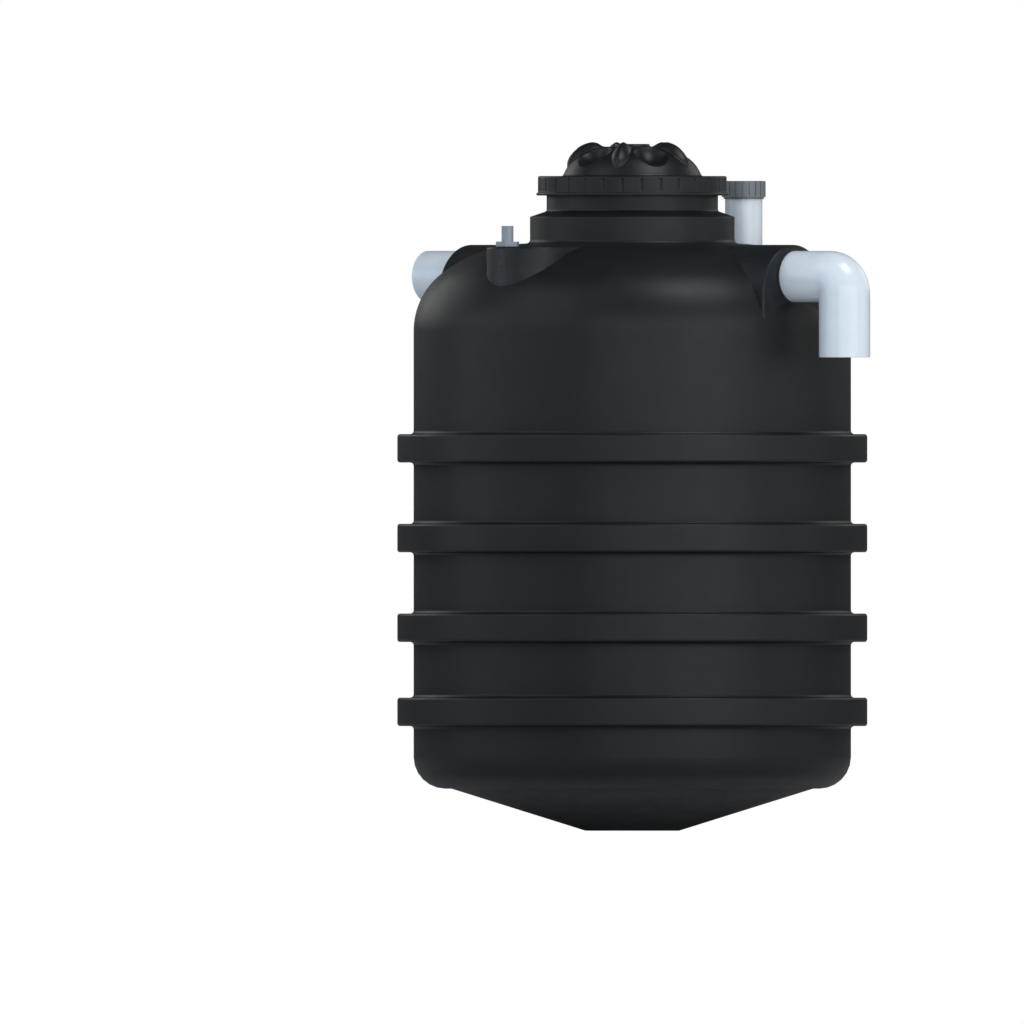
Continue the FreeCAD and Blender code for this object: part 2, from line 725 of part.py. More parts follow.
def make_fitting():
    """Hexagon bush and hose nipple on the front boss."""
    seat = f"({BOSS_TOP} + seat_gap)"
    bush = new_body("air_bush")
    plan = new_sketch(bush, "bush_plan", "XY_Plane", seat)
    corner = "hexagon_width / sqrt(3)"
    corners = [(f"{corner} * cos({angle})", f"{corner} * sin({angle})") for angle in range(0, 360, 60)]
    draw_outline(plan, corners)
    extrude(bush, "bush_hexagon", plan, "hexagon_height")
    stem = new_sketch(bush, "bush_stem_circle", "XY_Plane", seat)
    draw_circle(stem, "0", "0", "nipple_radius")
    extrude(bush, "bush_stem", stem, "wall_thickness + nipple_radius", backwards=True)
    bore = new_sketch(bush, "bush_bore_circle", "XY_Plane", f"{seat} + hexagon_height")
    draw_circle(bore, "0", "0", "nipple_bore")
    extrude(bush, "bush_bore", bore, "hexagon_height + wall_thickness + 2 * nipple_radius",
            "PartDesign::Pocket")

    nipple = new_body("hose_nipple")
    section = new_sketch(nipple, "nipple_section", "XY_Plane", f"{seat} + hexagon_height")
    draw_circle(section, "0", "0", "nipple_radius")
    draw_circle(section, "0", "0", "nipple_bore")
    extrude(nipple, "nipple_run", section, "nipple_height")
    for body in (bush, nipple):
        bind(body, "Placement.Base.x", "0 - fitting_across")
        bind(body, "Placement.Base.y", f"0 - {FITTING_CENTRE}")


def make_lid_ring():
    """Screw ring with grip grooves, and the gasket between it and the neck."""
    skirt_bottom = f"({LID_PLATE_BOTTOM} - lid_skirt)"
    skirt_inner = f"({LID_RING_RADIUS} - lid_ring_wall)"
    flange = f"({LID_RING_RADIUS} + lid_flange_projection)"
    flange_top = f"({skirt_bottom} + lid_flange_height)"
    hole = f"({LID_DOME_RADIUS} - lid_dome_wall)"
    body = new_body("lid_ring")
    turn(body, "lid_ring_shell", [
        (hole, LID_PLATE_BOTTOM),
        (skirt_inner, LID_PLATE_BOTTOM),
        (skirt_inner, skirt_bottom),
        (flange, skirt_bottom),
        (flange, flange_top),
        (LID_RING_RADIUS, flange_top),
        (LID_RING_RADIUS, LID_PLATE_TOP),
        (hole, LID_PLATE_TOP),
    ])
    round_edges(body, "lid_ring_edge", "lid_edge_radius", hoop_edge(LID_RING_RADIUS, LID_PLATE_TOP))
    cut_grooves(body, "lid_grip", LID_PLATE_TOP, LID_RING_RADIUS, "grip_width", "grip_depth",
                "lid_plate + lid_skirt - lid_flange_height", "grip_count")
    turn_body(body, "grip_turn")
    ring("lid_gasket", NECK_INNER, "neck_radius", GASKET_BOTTOM, LID_PLATE_BOTTOM)


def turn_body(body, angle):
    """Turn a finished body about the tank's axis."""
    body.Placement = FreeCAD.Placement(Vector(0, 0, 0), FreeCAD.Rotation(Vector(0, 0, 1), value(angle)))
    bind(body, "Placement.Rotation.Angle", angle)


# The lid's dome is two tangent arcs as well
LID_SPREAD = f"({LID_DOME_RADIUS} - lid_dome_knuckle_radius)"
LID_RISE_LEFT = "(lid_dome_rise - lid_dome_knuckle_radius)"
LID_CROWN_DROP = f"(({LID_SPREAD}^2 - {LID_RISE_LEFT}^2) / (2 * {LID_RISE_LEFT}))"
LID_CROWN_RADIUS = f"(lid_dome_rise + {LID_CROWN_DROP})"
LID_ARC_SPAN = f"({LID_CROWN_RADIUS} - lid_dome_knuckle_radius)"


def lid_points(offset):
    """Foot and tangent point of the lid's dome, and its height at the table's edge."""
    knuckle = f"(lid_dome_knuckle_radius + {offset})"
    crown = f"({LID_CROWN_RADIUS} + {offset})"
    foot = (f"{LID_DOME_RADIUS} + {offset}", LID_PLATE_TOP, knuckle)
    across = f"{LID_SPREAD} + {knuckle} * {LID_SPREAD} / {LID_ARC_SPAN}"
    up = f"{LID_PLATE_TOP} + {knuckle} * {LID_CROWN_DROP} / {LID_ARC_SPAN}"
    table = f"({LID_PLATE_TOP} - {LID_CROWN_DROP} + sqrt({crown}^2 - lid_table_radius^2))"
    return foot, (across, up, crown), table


def lid_height(across):
    """Height of the lid's outer surface at a distance from the axis."""
    tangent = lid_points("0")[1][0]
    if value(across) < value(tangent):
        return f"({LID_PLATE_TOP} - {LID_CROWN_DROP} + sqrt({LID_CROWN_RADIUS}^2 - ({across})^2))"
    return f"({LID_PLATE_TOP} + sqrt(lid_dome_knuckle_radius^2 - ({across} - {LID_SPREAD})^2))"


def make_cup(body, name, kind, grow):
    """An ellipsoid that leans out from the lid's surface, on the side away from the first fin."""
    cup = body.newObject(kind, name)
    plane = next(item for item in body.Origin.OriginFeatures if item.Role == "XY_Plane")
    cup.AttachmentSupport = [(plane, "")]
    cup.MapMode = "FlatFace"
    cup.AttachmentOffset = FreeCAD.Placement(
        Vector(0, 0, 0), FreeCAD.Rotation(Vector(0, -1, 0), value("dimple_tilt")))
    bind(cup, "AttachmentOffset.Rotation.Angle", "dimple_tilt")
    bind(cup, "AttachmentOffset.Base.x", f"-({DIMPLE_REACH} + dimple_lift * sin(dimple_tilt))")
    bind(cup, "AttachmentOffset.Base.z", f"{lid_height(DIMPLE_REACH)} + dimple_lift * cos(dimple_tilt)")
    bind(cup, "Radius1", f"dimple_cup_radius + {grow}")
    bind(cup, "Radius2", f"dimple_slope_radius + {grow}")
    bind(cup, "Radius3", f"dimple_width_radius + {grow}")
    doc.recompute()
    return cup


# Where the fin's sections stand, as shares of its length
FIN_STATIONS = (0.02, 0.12, 0.3, 0.5, 0.7, 0.88, 0.98)


def make_fin(body):
    """A leaf-shaped fin: a sharp crest between hollow flanks, blunt inside and pointed outside."""
    length = f"({LID_DOME_RADIUS} - fin_setback - lid_table_radius)"
    sections = []
    for number, share in enumerate(FIN_STATIONS, start=1):
        across = f"(lid_table_radius + {share} * {length})"
        sketch = new_sketch(body, f"fin_section_{number}", "YZ_Plane", across)
        surface = lid_height(across)
        half = f"(fin_half_width * sqrt(1 - {share}^3))"
        root = f"({surface} - fin_root)"
        crest = f"({surface} + fin_height * sqrt(sin(180 * {share})))"
        draw_outline(sketch, [
            (f"-{half}", root),
            (half, root, "-fin_flank_radius"),
            ("0", crest, "-fin_flank_radius"),
        ])
        sections.append(sketch)
    doc.recompute()
    fin = body.newObject("PartDesign::AdditiveLoft", "fin")
    fin.Profile = sections[0]
    fin.Sections = sections[1:]
    doc.recompute()
    return fin


def make_lid_dome():
    """Domed centre of the lid: a thin shell with fins, and dimples pressed in between them."""
    outer_foot, outer_tangent, table = lid_points("0")
    inner_foot, inner_tangent, ceiling = lid_points("(0 - lid_dome_wall)")
    button = f"({table} + lid_button_height)"
    outside = [
        outer_foot,
        outer_tangent,
        ("lid_table_radius", table),
        ("lid_button_radius", table),
        ("lid_button_radius", button),
        ("0", button),
    ]
    body = new_body("lid_dome")
    turn(body, "lid_dome_shell", outside + [
        ("0", ceiling),
        ("lid_table_radius", ceiling, f"-{inner_tangent[2]}"),
        (inner_tangent[0], inner_tangent[1], f"-{inner_foot[2]}"),
        inner_foot[:2],
    ])
    backing = make_cup(body, "dimple_backing", "PartDesign::AdditiveEllipsoid", "lid_dome_wall")
    repeat_around(body, "dimple_backings", [backing], "petal_count")
    clear_radius = f"2 * {LID_DOME_RADIUS}"
    clear_top = f"{button} + {LID_DOME_RADIUS}"
    cleared = [("0", clear_top), (clear_radius, clear_top), (clear_radius, LID_PLATE_TOP)]
    turn(body, "outside_trim", outside + cleared, "PartDesign::Groove")
    repeat_around(body, "fins", [make_fin(body)], "petal_count")
    dimple = make_cup(body, "dimple", "PartDesign::SubtractiveEllipsoid", "0")
    repeat_around(body, "dimples", [dimple], "petal_count")
    turn_body(body, "petal_turn")


def check_and_write():
    """Stop on any failed object, then write each piece under its label."""
    doc.recompute()
    for obj in doc.Objects:
        if "Invalid" in obj.State or "Error" in obj.State:
            raise RuntimeError(f"{obj.Name} failed: {obj.State}")
    os.makedirs("parts", exist_ok=True)
    for body in doc.findObjects("PartDesign::Body"):
        if body.Shape.isNull() or not body.Shape.isValid() or not body.Shape.Solids:
            raise RuntimeError(f"{body.Label} has no sound solid")
        body.Shape.exportStep(f"parts/{body.Label}.step")


make_base()
make_ribs()
make_wall()
make_shoulder()
make_tunnel("outlet_tunnel", 1)
make_tunnel("inlet_tunnel", -1)
make_boss("front_boss", -1, "nipple_radius + seat_gap", "(0 - fitting_across)", f"(0 - {FITTING_CENTRE})")
make_boss("rear_boss", 1, RISER_HOLE, "0", RISER_CENTRE)
make_collar()
make_neck()
make_pipes()
make_riser()
make_fitting()
make_lid_ring()
make_lid_dome()
check_and_write()
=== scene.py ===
import json
import math

import bmesh
import bpy
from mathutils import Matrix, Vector


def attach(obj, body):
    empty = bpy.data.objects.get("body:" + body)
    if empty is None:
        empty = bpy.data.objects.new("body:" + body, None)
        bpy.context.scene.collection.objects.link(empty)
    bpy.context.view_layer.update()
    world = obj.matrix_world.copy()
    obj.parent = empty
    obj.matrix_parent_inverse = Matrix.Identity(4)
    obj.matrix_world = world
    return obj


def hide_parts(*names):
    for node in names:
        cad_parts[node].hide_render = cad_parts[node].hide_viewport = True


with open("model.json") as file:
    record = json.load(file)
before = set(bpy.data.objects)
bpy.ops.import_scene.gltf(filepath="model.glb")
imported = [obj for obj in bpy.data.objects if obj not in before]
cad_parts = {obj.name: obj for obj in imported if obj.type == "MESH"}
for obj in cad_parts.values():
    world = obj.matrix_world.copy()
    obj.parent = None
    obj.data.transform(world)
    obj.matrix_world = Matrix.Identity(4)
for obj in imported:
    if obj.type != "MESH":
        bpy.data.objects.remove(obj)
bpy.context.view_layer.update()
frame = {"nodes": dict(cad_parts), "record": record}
NODES = frame["nodes"]
MM = 0.001

# Radii, reaches and levels in millimetres, from the foot up
FOOT, CONE, CONE_TOP, BASE_KNUCKLE = 100, 387, 90, 68
WALL, WALL_TOP, SHELL = 468, 1070, 7
RIB_FEET, RIB_TALL, RIB_TIP, RIB_EDGE, RIB_ROOT = (224, 404, 596, 788), 61, 502.9, 6, 7.5
# The shoulder's two arcs, each as centre across, centre up and radius, and the angle where they meet
KNUCKLE, CROWN, TURN = (313, WALL_TOP, 155), (219, 948, 309), 52.39
TUNNEL, TUNNEL_AXIS, TUNNEL_FACE, TUNNEL_RIM = 106, 1148, 455, 6
BOSS, BOSS_NOSE, BOSS_TOP, BOSS_RIM = 89, 346, 1250, 6
COLLAR, COLLAR_FOOT, COLLAR_TOP = 219, 1257, 1314
NECK, NECK_FOOT, NECK_TOP = 183.5, 1326, 1391
THREADS, THREAD_DEPTH = (1363, 1373, 1383), 2.5
# What stands on the vessel
PIPE, BORE, PIPE_AXIS, PIPE_INSIDE = 55, 51.8, 1186, 395
INLET_END, LEG_END = 570.9, 1013
BEND_X, BEND_Z, BEND = 553, 1146, 40
RISER, RISER_BORE, RISER_Y, RISER_FOOT, RISER_TOP = 40, 37, 371, 1210, 1386.5
FITTING_X, FITTING_Y = -34, -375


# Mesh tools
def rounded(corners, steps=6):
    """A polyline through corners (across, up, radius), each corner rounded by its radius."""
    line = []
    for i, corner in enumerate(corners):
        here = Vector(corner[:2])
        radius = corner[2] if len(corner) > 2 else 0
        if not radius or i in (0, len(corners) - 1):
            line.append(here)
            continue
        before = (Vector(corners[i - 1][:2]) - here).normalized()
        after = (Vector(corners[i + 1][:2]) - here).normalized()
        half = math.acos(max(-1, min(1, before.dot(after)))) / 2
        reach = radius / math.tan(half)
        middle = here + (before + after).normalized() * (radius / math.sin(half))
        start, end = here + before * reach - middle, here + after * reach - middle
        sweep = math.pi - 2 * half
        count = max(2, round(steps * sweep / (math.pi / 2)))
        side = 1 if start.x * end.y - start.y * end.x > 0 else -1
        for k in range(count + 1):
            turn = side * sweep * k / count
            line.append(middle + Vector((start.x * math.cos(turn) - start.y * math.sin(turn),
                                         start.x * math.sin(turn) + start.y * math.cos(turn))))
    return [(p.x, p.y) for p in line]


def arc(centre, first, last, steps):
    """Points of an arc (across, up, radius) from one angle to another, in degrees."""
    across, up, radius = centre
    angles = [math.radians(first + (last - first) * k / steps) for k in range(steps + 1)]
    return [(across + radius * math.cos(a), up + radius * math.sin(a)) for a in angles]


def shrunk(circle, less):
    """The circle (across, up, radius) with its radius made less."""
    return (circle[0], circle[1], circle[2] - less)


def circle_point(radius, k, steps):
    """Place k of the steps around a circle."""
    return radius * math.cos(2 * math.pi * k / steps), radius * math.sin(2 * math.pi * k / steps)


def grid(rows, wrap_rows=False):
    """A bmesh of rings: each row is a list of points in millimetres around a closed loop."""
    bm = bmesh.new()
    rings = []
    for row in rows:
        if all((Vector(p) - Vector(row[0])).length < 1e-6 for p in row):
            rings.append([bm.verts.new(Vector(row[0]) * MM)])
        else:
            rings.append([bm.verts.new(Vector(p) * MM) for p in row])
    pairs = list(zip(rings, rings[1:]))
    if wrap_rows:
        pairs.append((rings[-1], rings[0]))
    for low, high in pairs:
        count = max(len(low), len(high))
        for k in range(count):
            n = (k + 1) % count
            corners = [low[k % len(low)], low[n % len(low)], high[n % len(high)], high[k % len(high)]]
            corners = [v for i, v in enumerate(corners) if v not in corners[:i]]
            if len(corners) > 2 and bm.faces.get(corners) is None:
                bm.faces.new(corners)
    bmesh.ops.remove_doubles(bm, verts=bm.verts, dist=1e-6)
    bmesh.ops.dissolve_degenerate(bm, edges=bm.edges, dist=1e-7)
    bmesh.ops.recalc_face_normals(bm, faces=bm.faces)
    return bm


def cap_ends(bm):
    """Close every open loop with a face."""
    bmesh.ops.holes_fill(bm, edges=[e for e in bm.edges if e.is_boundary], sides=0)
    bmesh.ops.recalc_face_normals(bm, faces=bm.faces)
    return bm


def revolve(profile, segments, closed=True):
    """Turn a profile of (radius, height) about the upright axis."""
    rows = [[(*circle_point(radius, k, segments), height) for k in range(segments)] for radius, height in profile]
    return grid(rows, wrap_rows=closed)


def to_object(bm, name):
    mesh = bpy.data.meshes.new(name)
    bm.to_mesh(mesh)
    bm.free()
    obj = bpy.data.objects.new(name, mesh)
    bpy.context.scene.collection.objects.link(obj)
    return obj


def cut(obj, bm):
    """Take the solid in a bmesh away from an object."""
    tool = to_object(bm, "cutter")
    modifier = obj.modifiers.new("cut", "BOOLEAN")
    modifier.operation, modifier.solver, modifier.object = "DIFFERENCE", "EXACT", tool
    bpy.context.view_layer.update()
    result = bpy.data.meshes.new_from_object(obj.evaluated_get(bpy.context.evaluated_depsgraph_get()))
    obj.modifiers.clear()
    obj.data = result
    bpy.data.objects.remove(tool)


def finish_piece(obj, body, material, slot, *nodes, angle=35):
    """Smooth shading, material, body and the CAD nodes that the piece stands for; slot is not used."""
    obj.data.materials.clear()
    obj.data.materials.append(material)
    obj.data.shade_smooth()
    obj.data.set_sharp_from_angle(angle=math.radians(angle))
    weighted = obj.modifiers.new("weighted", "WEIGHTED_NORMAL")
    weighted.keep_sharp = True
    weighted.weight = 90
    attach(obj, body)
    if nodes:
        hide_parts(*nodes)
    return obj


# Materials
class Nodes:
    """Small helper that adds and links the nodes of one material."""

    def __init__(self, name):
        self.material = bpy.data.materials.new(name)
        self.material.use_nodes = True
        self.tree = self.material.node_tree
        self.shader = self.tree.nodes["Principled BSDF"]
        self.place = self.add("ShaderNodeTexCoord").outputs["Object"]

    def add(self, kind, **values):
        node = self.tree.nodes.new(kind)
        for key, value in values.items():
            if hasattr(node, key):
                setattr(node, key, value)
            else:
                node.inputs[key].default_value = value
        return node

    def link(self, start, end):
        self.tree.links.new(start, end)

    def noise(self, scale, detail=3.0, roughness=0.5, stretch=None):
        node = self.add("ShaderNodeTexNoise", Scale=scale, Detail=detail, Roughness=roughness)
        if stretch:
            mapping = self.add("ShaderNodeMapping", Scale=stretch)
            self.link(self.place, mapping.inputs["Vector"])
            self.link(mapping.outputs["Vector"], node.inputs["Vector"])
        else:
            self.link(self.place, node.inputs["Vector"])
        return node.outputs["Fac"]

    def span(self, value, low, high, out_low, out_high):
        node = self.add("ShaderNodeMapRange")
        for key, number in (("From Min", low), ("From Max", high), ("To Min", out_low), ("To Max", out_high)):
            node.inputs[key].default_value = number
        self.link(value, node.inputs["Value"])
        return node.outputs["Result"]

    def mix(self, factor, first, second):
        node = self.add("ShaderNodeMix", data_type="RGBA")
        sockets = [s for s in node.inputs if s.type == "RGBA"]
        for socket, value in zip(sockets, (first, second)):
            if isinstance(value, tuple):
                socket.default_value = (*value, 1)
            else:
                self.link(value, socket)
        self.link(factor, next(s for s in node.inputs if s.type == "VALUE"))
        return next(s for s in node.outputs if s.type == "RGBA")

    def bump(self, height, strength, distance, before=None):
        node = self.add("ShaderNodeBump", Strength=strength, Distance=distance)
        self.link(height, node.inputs["Height"])
        if before:
            self.link(before, node.inputs["Normal"])
        return node.outputs["Normal"]


def black_plastic(name, low, high, gloss):
    """Satin moulded polyethylene: faint mottling, orange peel, rubbed edges and a painted reflection of the pale floor
    low down.
    """
    n = Nodes(name)
    mottle = n.span(n.noise(7.0, 4.0, 0.6), 0.3, 0.7, 0.0, 1.0)
    base = n.mix(mottle, (0.0060, 0.0071, 0.0084), (0.0086, 0.0100, 0.0117))
    edge = n.span(n.add("ShaderNodeNewGeometry").outputs["Pointiness"], 0.515, 0.60, 0.0, 0.7)
    rub = n.add("ShaderNodeMath", operation="MULTIPLY")
    n.link(edge, rub.inputs[0])
    n.link(n.span(n.noise(38.0, 4.0, 0.7), 0.35, 0.65, 0.25, 1.0), rub.inputs[1])
    rubbed = n.mix(rub.outputs[0], base, (0.033, 0.037, 0.042))
    # Painted reflection of the pale floor: below 0.12 m, on the foot and cone, the colour turns much lighter, mottled
    # by noise
    parts = n.add("ShaderNodeSeparateXYZ")
    n.link(n.place, parts.inputs[0])
    painted_floor_reflection = n.add("ShaderNodeMath", operation="MULTIPLY")
    n.link(n.span(parts.outputs["Z"], 0.12, 0.075, 0.0, 1.0), painted_floor_reflection.inputs[0])
    n.link(n.span(n.noise(26.0, 5.0, 0.65), 0.25, 0.7, 0.6, 1.0), painted_floor_reflection.inputs[1])
    n.link(n.mix(painted_floor_reflection.outputs[0], rubbed, (0.075, 0.077, 0.080)), n.shader.inputs["Base Color"])
    n.link(n.span(n.noise(22.0, 5.0, 0.65), 0.25, 0.75, low, high), n.shader.inputs["Roughness"])
    wave = n.bump(n.noise(9.0, 2.0, 0.4), 0.20, 0.004)
    n.link(n.bump(n.noise(420.0, 2.0, 0.5), 0.10, 0.0005, wave), n.shader.inputs["Normal"])
    n.shader.inputs["Specular IOR Level"].default_value = gloss
    return n.material


def white_pipe():
    """Glossy blue-white drain pipe with faint extrusion lines and a little handling dirt."""
    n = Nodes("white_pvc")
    cloud = n.span(n.noise(16.0, 5.0, 0.6), 0.35, 0.7, 0.0, 1.0)
    base = n.mix(cloud, (0.715, 0.770, 0.830), (0.775, 0.825, 0.880))
    scuff = n.span(n.noise(55.0, 6.0, 0.75, (1.0, 1.0, 0.35)), 0.62, 0.74, 0.0, 0.22)
    n.link(n.mix(scuff, base, (0.45, 0.50, 0.55)), n.shader.inputs["Base Color"])
    n.link(n.span(n.noise(30.0, 4.0, 0.6), 0.3, 0.7, 0.16, 0.27), n.shader.inputs["Roughness"])
    n.link(n.bump(n.noise(60.0, 3.0, 0.5, (0.25, 1.0, 0.25)), 0.06, 0.001), n.shader.inputs["Normal"])
    return n.material


def grey_plastic(name, dark, light, low, high):
    """Moulded fitting plastic: small speckle, fine grain and uneven gloss."""
    n = Nodes(name)
    n.link(n.mix(n.span(n.noise(45.0, 5.0, 0.65), 0.3, 0.7, 0.0, 1.0), dark, light), n.shader.inputs["Base Color"])
    n.link(n.span(n.noise(70.0, 4.0, 0.6), 0.3, 0.7, low, high), n.shader.inputs["Roughness"])
    n.link(n.bump(n.noise(600.0, 2.0, 0.5), 0.12, 0.0004), n.shader.inputs["Normal"])
    return n.material


def rubber():
    """Dull black rubber with a dusty bloom."""
    n = Nodes("seal_rubber")
    bloom = n.span(n.noise(80.0, 5.0, 0.7), 0.4, 0.75, 0.0, 1.0)
    n.link(n.mix(bloom, (0.012, 0.012, 0.013), (0.030, 0.030, 0.032)), n.shader.inputs["Base Color"])
    n.link(n.span(n.noise(120.0, 3.0, 0.5), 0.3, 0.7, 0.68, 0.82), n.shader.inputs["Roughness"])
    n.link(n.bump(n.noise(500.0, 3.0, 0.6), 0.25, 0.0005), n.shader.inputs["Normal"])
    return n.material


BLACK = black_plastic("black_polyethylene", 0.42, 0.50, 0.28)
BLACK_LID = black_plastic("black_lid_plastic", 0.38, 0.46, 0.32)
WHITE = white_pipe()
GREY_CAP = grey_plastic("grey_cap", (0.142, 0.153, 0.166), (0.176, 0.188, 0.202), 0.36, 0.46)
GREY_FITTING = grey_plastic("grey_fitting", (0.23, 0.255, 0.30), (0.29, 0.315, 0.36), 0.28, 0.38)
RUBBER = rubber()


# Vessel
# Where the tunnels' and bosses' solids end below, inside the dome, and where their cutters end, lower still
INSIDE_THE_DOME, UNDER_THE_SOLIDS = 1078, 1060


def vessel_profile():
    """Section of the moulded vessel, up the outside and back down the inside."""
    wall_in, cone_in, tip_in = WALL - SHELL, CONE_TOP + SHELL, RIB_TIP - SHELL
    outer = [(0, 0), (FOOT, 0, 5), (CONE, CONE_TOP, 12), (WALL, CONE_TOP, BASE_KNUCKLE)]
    inner = [(0, SHELL), (FOOT, SHELL, 5), (CONE, cone_in, 8), (wall_in, cone_in, BASE_KNUCKLE - SHELL)]
    for foot in RIB_FEET:
        top = foot + RIB_TALL
        outer += [(WALL, foot, RIB_ROOT), (RIB_TIP, foot, RIB_EDGE), (RIB_TIP, top, RIB_EDGE), (WALL, top, RIB_ROOT)]
        inner += [(wall_in, foot + SHELL, 3), (tip_in, foot + SHELL, 2), (tip_in, top - SHELL, 2),
                  (wall_in, top - SHELL, 3)]
    outer.append((WALL, WALL_TOP))
    inner.append((wall_in, WALL_TOP))
    # Flare onto the dome, collar, slope, neck with its thread beads, and down the inside again
    neck = [(COLLAR + 9.5, COLLAR_FOOT - 0.1), (COLLAR, COLLAR_FOOT, 8.5), (COLLAR, COLLAR_TOP, 2.5),
            (NECK, NECK_FOOT, 5)]
    for level in THREADS:
        neck += [(NECK, level - 3.4, 1), (NECK + THREAD_DEPTH, level - 1.6, 0.8),
                 (NECK + THREAD_DEPTH, level + 1.6, 0.8), (NECK, level + 3.4, 1)]
    neck += [(NECK, NECK_TOP, 1.5), (NECK - SHELL, NECK_TOP, 1.5), (NECK - SHELL, NECK_FOOT - 5, 5),
             (COLLAR - SHELL, COLLAR_TOP - SHELL, 2.5), (COLLAR - SHELL, COLLAR_FOOT - SHELL)]
    up = rounded(outer)[:-1] + arc(KNUCKLE, 0, TURN, 24) + arc(CROWN, TURN, 88.2, 18)[1:]
    down = arc(shrunk(CROWN, SHELL), 90, TURN, 12) + arc(shrunk(KNUCKLE, SHELL), TURN, 0, 16)[1:]
    return up + rounded(neck)[1:] + down + rounded(inner)[:-1][::-1]


def half_round(radius, steps=40):
    """Points of the upper half of a circle, from its right end to its left."""
    return arc((0, 0, radius), 0, 180, steps)


def eased_end(end, rim, steps=6):
    """Stations (place, inset) of a prism's last edge, rounded by rim."""
    if not rim:
        return [(end, 0)]
    angles = [math.pi / 2 * k / steps for k in range(steps + 1)]
    return [(end - rim + rim * math.sin(a), rim * (1 - math.cos(a))) for a in angles]


def arch(radius, drop):
    """Points (y, z) round a tunnel's section: upright sides under a half round top."""
    top = [(y, TUNNEL_AXIS + z) for y, z in half_round(radius)]
    return [(radius, drop)] + top + [(-radius, drop)] + [(-radius + radius * k / 4, drop) for k in range(1, 8)]


def tunnel_solid(radius, start, face, side, rim=0.0, drop=INSIDE_THE_DOME):
    """Prism of the tunnel's section along X, with a rounded rim at its face."""
    stations = [(start, 0)] + eased_end(face, rim)
    rows = [[(side * x, y, z) for y, z in arch(radius - inset, drop)] for x, inset in stations]
    return cap_ends(grid(rows))


def boss_plan(radius, back=-150):
    """Points (x, y) of a boss from above: straight cheeks and a round nose towards -Y."""
    return [(-radius, back)] + [(-x, -BOSS_NOSE - y) for x, y in half_round(radius)] + [(radius, back)]


def boss_solid(radius, top, side, rim=0.0, bottom=INSIDE_THE_DOME):
    """Upright prism of a boss with a rounded top edge."""
    stations = [(bottom, 0)] + eased_end(top, rim)
    rows = [[(-side * x, -side * y, z) for x, y in boss_plan(radius - inset)] for z, inset in stations]
    return cap_ends(grid(rows))


def dome_core():
    """Solid under the middle of the shoulder's shell, which trims what stands on it."""
    knuckle, crown = shrunk(KNUCKLE, SHELL / 2), shrunk(CROWN, SHELL / 2)
    line = [(0, 1000), (knuckle[0] + knuckle[2], 1000)] + arc(knuckle, 0, TURN, 24) + arc(crown, TURN, 90, 18)[1:]
    return revolve(line + [(0, line[-1][1])], 128)


def rod(radius, start, end, steps=64):
    """Plain round cutter between two points."""
    turn = (Vector(end) - Vector(start)).to_track_quat("Z", "Y").to_matrix()
    rows = [[tuple(Vector(place) + turn @ Vector((*circle_point(radius, k, steps), 0))) for k in range(steps)]
            for place in (start, end)]
    return cap_ends(grid(rows))


vessel = to_object(revolve(vessel_profile(), 224), "vessel_shell")
for side in (-1, 1):
    cut(vessel, tunnel_solid(TUNNEL - SHELL, 150, TUNNEL_FACE - SHELL, side))
    cut(vessel, boss_solid(BOSS - SHELL, BOSS_TOP - SHELL, side))
VESSEL_NODES = [name for name in NODES if name.startswith(("wall_band_", "rib_", "shoulder_"))]
VESSEL_NODES += ["foot_plate", "cone_bottom", "base_knuckle", "manhole_collar", "collar_slope", "manhole_neck"]
finish_piece(vessel, "tank", BLACK, "black_polyethylene", *VESSEL_NODES)

for side, name in ((-1, "inlet_tunnel"), (1, "outlet_tunnel")):
    cover = to_object(tunnel_solid(TUNNEL, 200, TUNNEL_FACE, side, rim=TUNNEL_RIM), f"{name}_cover")
    cut(cover, tunnel_solid(TUNNEL - SHELL, 150, TUNNEL_FACE - SHELL, side, drop=UNDER_THE_SOLIDS))
    cut(cover, rod(60, (side * 430, 0, PIPE_AXIS), (side * 480, 0, PIPE_AXIS)))
    cut(cover, dome_core())
    finish_piece(cover, "tank", BLACK, "black_polyethylene", name)

for side, name, x, y, hole in ((-1, "front_boss", FITTING_X, FITTING_Y, 14), (1, "rear_boss", 0, RISER_Y, 43)):
    cover = to_object(boss_solid(BOSS, BOSS_TOP, side, rim=BOSS_RIM), f"{name}_cover")
    cut(cover, boss_solid(BOSS - SHELL, BOSS_TOP - SHELL, side, bottom=UNDER_THE_SOLIDS))
    cut(cover, rod(hole, (x, y, BOSS_TOP - 50), (x, y, BOSS_TOP + 30)))
    cut(cover, dome_core())
    finish_piece(cover, "tank", BLACK, "black_polyethylene", name)


# Drain pipes
def ring_walk(outer, inner, stations, edge=1.2, steps=72):
    """Closed skin of a pipe along stations (function of ring angle and radius), with eased ends."""
    first, last = stations[0], stations[-1]
    walk = [(first, inner + edge, 0), (first, outer - edge, 0), (first, outer, edge)]
    walk += [(s, outer, 0) for s in stations[1:-1]]
    walk += [(last, outer, -edge), (last, outer - edge, 0), (last, inner + edge, 0), (last, inner, -edge)]
    walk += [(s, inner, 0) for s in stations[1:-1][::-1]]
    walk += [(first, inner, edge)]
    rows = [[station(2 * math.pi * k / steps, radius, shift) for k in range(steps)] for station, radius, shift in walk]
    return grid(rows, wrap_rows=True)


def level(x):
    """Ring across a level pipe at x; a shift moves it along X."""
    return lambda t, r, shift: (x + shift, r * math.sin(t), PIPE_AXIS + r * math.cos(t))


def upright(x, y, z):
    """Ring across an upright pipe at z; a shift moves it along Z."""
    return lambda t, r, shift: (x + r * math.cos(t), y + r * math.sin(t), z + shift)


def bend(angle):
    """Ring across the elbow; what lies beyond the bend's axis stops at the mitre."""
    def ring(t, r, shift):
        q = BEND + r * math.cos(t)
        if q <= 0:
            return (BEND_X + q, r * math.sin(t), BEND_Z + q)
        a = math.radians(angle)
        return (BEND_X + q * math.sin(a), r * math.sin(t), BEND_Z + q * math.cos(a))
    return ring


